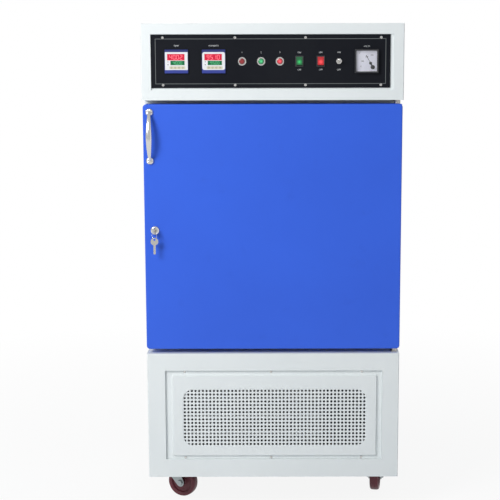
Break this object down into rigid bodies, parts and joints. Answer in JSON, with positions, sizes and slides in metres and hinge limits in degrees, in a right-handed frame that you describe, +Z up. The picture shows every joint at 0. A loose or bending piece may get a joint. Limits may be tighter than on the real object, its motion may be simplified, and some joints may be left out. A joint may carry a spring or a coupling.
{
  "type": "environmental test chamber",
  "caption": "Floor-standing temperature and humidity chamber with a full-width hinged door, instrument panel above and machine compartment below, on swivel castors.",
  "frame": {"origin": "on the floor, under the middle of the overall width and depth (bow handle in front, hose tails behind)", "axes": "+X to the right seen from the front, the front faces -Y, +Z up"},
  "size_m": [0.806, 0.842, 1.5645],
  "materials": {
    "white_paint": "white powder coat, fine texture, satin",
    "blue_paint": "blue powder coat, satin",
    "black_plate": "black anodised plate, satin, thin engraved border",
    "controller_plastic": "dark blue-grey moulding with a printed film front",
    "instrument_plastic": "black moulding",
    "lamp_red": "red translucent lenses, one of them green",
    "rocker_green": "green translucent rocker, lit",
    "rocker_red": "red translucent rocker, lit",
    "chrome": "polished chrome plate",
    "clear_window": "clear flat window",
    "needle_black": "black",
    "stainless": "stainless sheet, fine grain",
    "zinc_steel": "zinc-plated steel",
    "foam": "rigid polyurethane foam",
    "gasket_rubber": "dark silicone rubber",
    "castor_tread": "maroon polyurethane wheel",
    "castor_steel": "grey zinc-plated pressed steel",
    "copper_tube": "bare copper tube",
    "compressor_black": "black enamel",
    "fin_aluminium": "bright aluminium fins",
    "frame_grey": "grey primer",
    "motor_grey": "grey enamel",
    "fan_plastic": "black moulding",
    "gland_nylon": "black nylon"
  },
  "bodies": {
    "cabinet": {"air_baffle": "stainless", "air_heater": "stainless", "back_panel": "white_paint", "base_frame": "frame_grey", "boiler_pipes": "stainless", "cabinet_insulation": "foam", "cabinet_shell": "white_paint", "castor_plates": "castor_steel", "chamber_liner": "stainless", "circulation_motor": "motor_grey", "compressor": "compressor_black", "condenser_coil": "fin_aluminium", "condenser_fan_motor": "motor_grey", "condenser_shroud": "zinc_steel", "control_box": "white_paint", "evaporator_coil": "fin_aluminium", "hinge_brackets": "zinc_steel", "humidity_controller": "controller_plastic", "instrument_plate": "black_plate", "lamp_bezels": "chrome", "lamp_lenses": "lamp_red", "machine_casing": "white_paint", "mains_gland": "gland_nylon", "panel_screws": "chrome", "refrigerant_pipes": "copper_tube", "rocker_frames": "instrument_plastic", "sensor_probes": "stainless", "shelf_runners": "stainless", "steam_boiler": "stainless", "temperature_controller": "controller_plastic", "toggle_bush": "chrome", "vent_grille": "white_paint", "vent_panel": "white_paint", "voltmeter_case": "instrument_plastic", "voltmeter_window": "clear_window", "wire_shelves": "stainless"},
    "door": {"door_skin": "blue_paint", "door_insulation": "foam", "door_inner_pan": "stainless", "door_gasket": "gasket_rubber", "door_handle": "chrome", "lock_barrel": "chrome"},
    "lock": {"lock_cam": "zinc_steel", "door_key": "chrome"},
    "ring": {"key_ring": "chrome"},
    "spare": {"spare_key": "chrome"},
    "green_rocker": {"rocker_green": "rocker_green"},
    "red_rocker": {"rocker_red": "rocker_red"},
    "toggle": {"toggle_lever": "chrome"},
    "needle": {"voltmeter_needle": "needle_black"},
    "impeller": {"circulation_impeller": "zinc_steel"},
    "condenser_fan": {"condenser_fan_blade": "fan_plastic"},
    "fork_front_left": {"castor_fork_front_left": "castor_steel"},
    "wheel_front_left": {"castor_wheel_front_left": "castor_tread"},
    "fork_front_right": {"castor_fork_front_right": "castor_steel"},
    "wheel_front_right": {"castor_wheel_front_right": "castor_tread"},
    "fork_rear_left": {"castor_fork_rear_left": "castor_steel"},
    "wheel_rear_left": {"castor_wheel_rear_left": "castor_tread"},
    "fork_rear_right": {"castor_fork_rear_right": "castor_steel"},
    "wheel_rear_right": {"castor_wheel_rear_right": "castor_tread"}
  },
  "joints": [
    {"name": "door_hinge", "type": "hinge", "parent": "cabinet", "child": "door", "pos_m": [0.385, -0.355, 0.9335], "axis": [0, 0, 1], "range_deg": [0, 170]},
    {"name": "lock_turn", "type": "hinge", "parent": "door", "child": "lock", "pos_m": [-0.368, -0.385, 0.928], "axis": [0, 1, 0], "range_deg": [0, 90]},
    {"name": "key_ring_swing", "type": "hinge", "parent": "lock", "child": "ring", "pos_m": [-0.368, -0.412, 0.9256], "axis": [0.766, -0.6428, 0], "range_deg": [-60, 10]},
    {"name": "spare_key_swing", "type": "hinge", "parent": "ring", "child": "spare", "pos_m": [-0.368, -0.412, 0.905], "axis": [0.766, -0.6428, 0], "range_deg": [-30, 15]},
    {"name": "rocker_green_press", "type": "hinge", "parent": "cabinet", "child": "green_rocker", "pos_m": [0.082, -0.38, 1.44975], "axis": [1, 0, 0], "range_deg": [0, 16]},
    {"name": "rocker_red_press", "type": "hinge", "parent": "cabinet", "child": "red_rocker", "pos_m": [0.1475, -0.38, 1.44975], "axis": [1, 0, 0], "range_deg": [0, 16]},
    {"name": "toggle_flip", "type": "hinge", "parent": "cabinet", "child": "toggle", "pos_m": [0.2035, -0.387, 1.44975], "axis": [1, 0, 0], "range_deg": [0, 26]},
    {"name": "voltmeter_reading", "type": "hinge", "parent": "cabinet", "child": "needle", "pos_m": [0.3065, -0.387, 1.43125], "axis": [0, 1, 0], "range_deg": [-60, 29], "stiffness_Nm_per_rad": 0.004},
    {"name": "impeller_spin", "type": "hinge", "parent": "cabinet", "child": "impeller", "pos_m": [0, 0.278, 1.01225], "axis": [0, 1, 0], "continuous": true},
    {"name": "condenser_fan_spin", "type": "hinge", "parent": "cabinet", "child": "condenser_fan", "pos_m": [-0.06, -0.278, 0.313], "axis": [0, 1, 0], "continuous": true},
    {"name": "swivel_front_left", "type": "hinge", "parent": "cabinet", "child": "fork_front_left", "pos_m": [-0.34, -0.185, 0.112], "axis": [0, 0, 1], "continuous": true},
    {"name": "roll_front_left", "type": "hinge", "parent": "fork_front_left", "child": "wheel_front_left", "pos_m": [-0.30375, -0.20191, 0.05], "axis": [-0.4226, -0.9063, 0], "continuous": true},
    {"name": "swivel_front_right", "type": "hinge", "parent": "cabinet", "child": "fork_front_right", "pos_m": [0.34, -0.185, 0.112], "axis": [0, 0, 1], "continuous": true},
    {"name": "roll_front_right", "type": "hinge", "parent": "fork_front_right", "child": "wheel_front_right", "pos_m": [0.34695, -0.14561, 0.05], "axis": [0.9848, -0.1736, 0], "continuous": true},
    {"name": "swivel_rear_left", "type": "hinge", "parent": "cabinet", "child": "fork_rear_left", "pos_m": [-0.34, 0.265, 0.112], "axis": [0, 0, 1], "continuous": true},
    {"name": "roll_rear_left", "type": "hinge", "parent": "fork_rear_left", "child": "wheel_rear_left", "pos_m": [-0.34695, 0.30439, 0.05], "axis": [0.9848, 0.1736, 0], "continuous": true},
    {"name": "swivel_rear_right", "type": "hinge", "parent": "cabinet", "child": "fork_rear_right", "pos_m": [0.34, 0.265, 0.112], "axis": [0, 0, 1], "continuous": true},
    {"name": "roll_rear_right", "type": "hinge", "parent": "fork_rear_right", "child": "wheel_rear_right", "pos_m": [0.36, 0.29964, 0.05], "axis": [0.866, -0.5, 0], "continuous": true}
  ]
}
